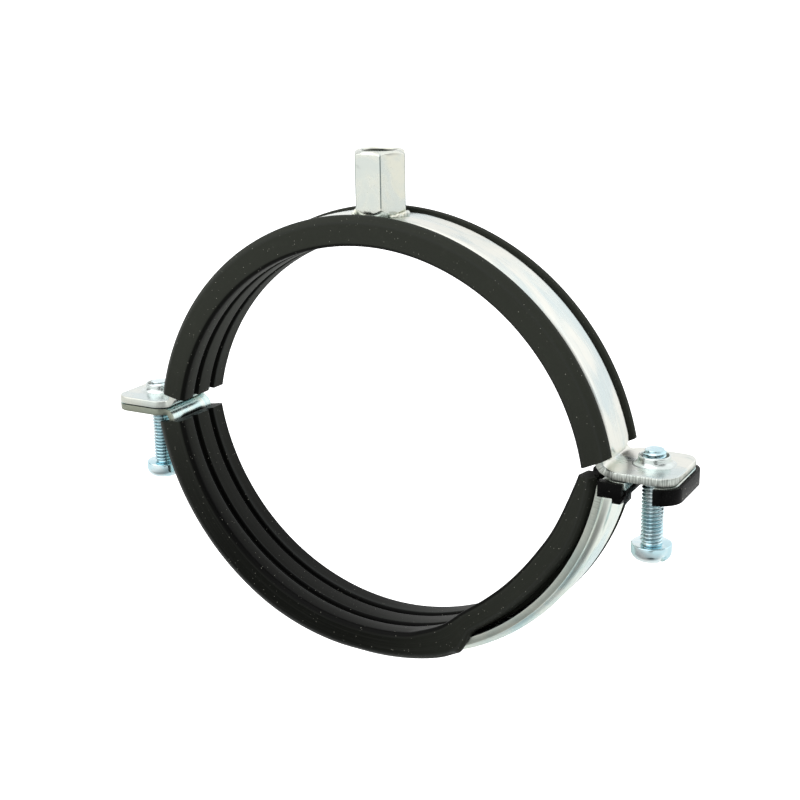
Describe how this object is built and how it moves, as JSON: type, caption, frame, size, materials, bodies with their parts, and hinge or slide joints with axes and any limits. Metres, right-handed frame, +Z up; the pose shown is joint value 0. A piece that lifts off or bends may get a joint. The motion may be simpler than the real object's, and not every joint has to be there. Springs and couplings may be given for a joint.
{
  "type": "rubber lined pipe clamp",
  "caption": "Two-piece steel pipe clamp with ribbed rubber lining, hex connection nut on top, two screws, open slot and plastic retainer on the closing ear.",
  "frame": {"origin": "middle of the ring, on the parting plane between the two half clamps", "axes": "+Z up towards the connection nut, Y along the pipe with the open side of the slot at -Y, X across the two screws"},
  "size_m": [0.1726, 0.0244, 0.1405],
  "materials": {
    "zinc_steel": "bright zinc plated pressed strip, blue and cream tints",
    "zinc_nut": "zinc plated drawn hexagon bar, faint scratches",
    "zinc_screw": "blue zinc plated, rolled thread",
    "weld_metal": "rough plated weld bead",
    "black_rubber": "matt extruded rubber with pale dust",
    "black_plastic": "moulded, slightly glossy"
  },
  "bodies": {
    "upper_half": {"upper_strap": "zinc_steel", "connection_nut": "zinc_nut", "nut_weld": "weld_metal", "upper_lining": "black_rubber"},
    "left_screw": {"left_screw": "zinc_screw"},
    "lower_half": {"lower_strap": "zinc_steel", "lower_lining": "black_rubber", "screw_retainer": "black_plastic"},
    "right_screw": {"right_screw": "zinc_screw"}
  },
  "joints": [
    {"name": "lower_half_swing", "type": "hinge", "parent": "upper_half", "child": "left_screw", "pos_m": [-0.07725, 0, 0], "axis": [0, 0, 1], "range_deg": [0, 110]},
    {"name": "lower_half_drop", "type": "slide", "parent": "left_screw", "child": "lower_half", "axis": [0, 0, 1], "range_m": [-0.014, 0]},
    {"name": "right_screw_feed", "type": "slide", "parent": "upper_half", "child": "right_screw", "axis": [0, 0, 1], "range_m": [-0.004, 0.014]}
  ]
}
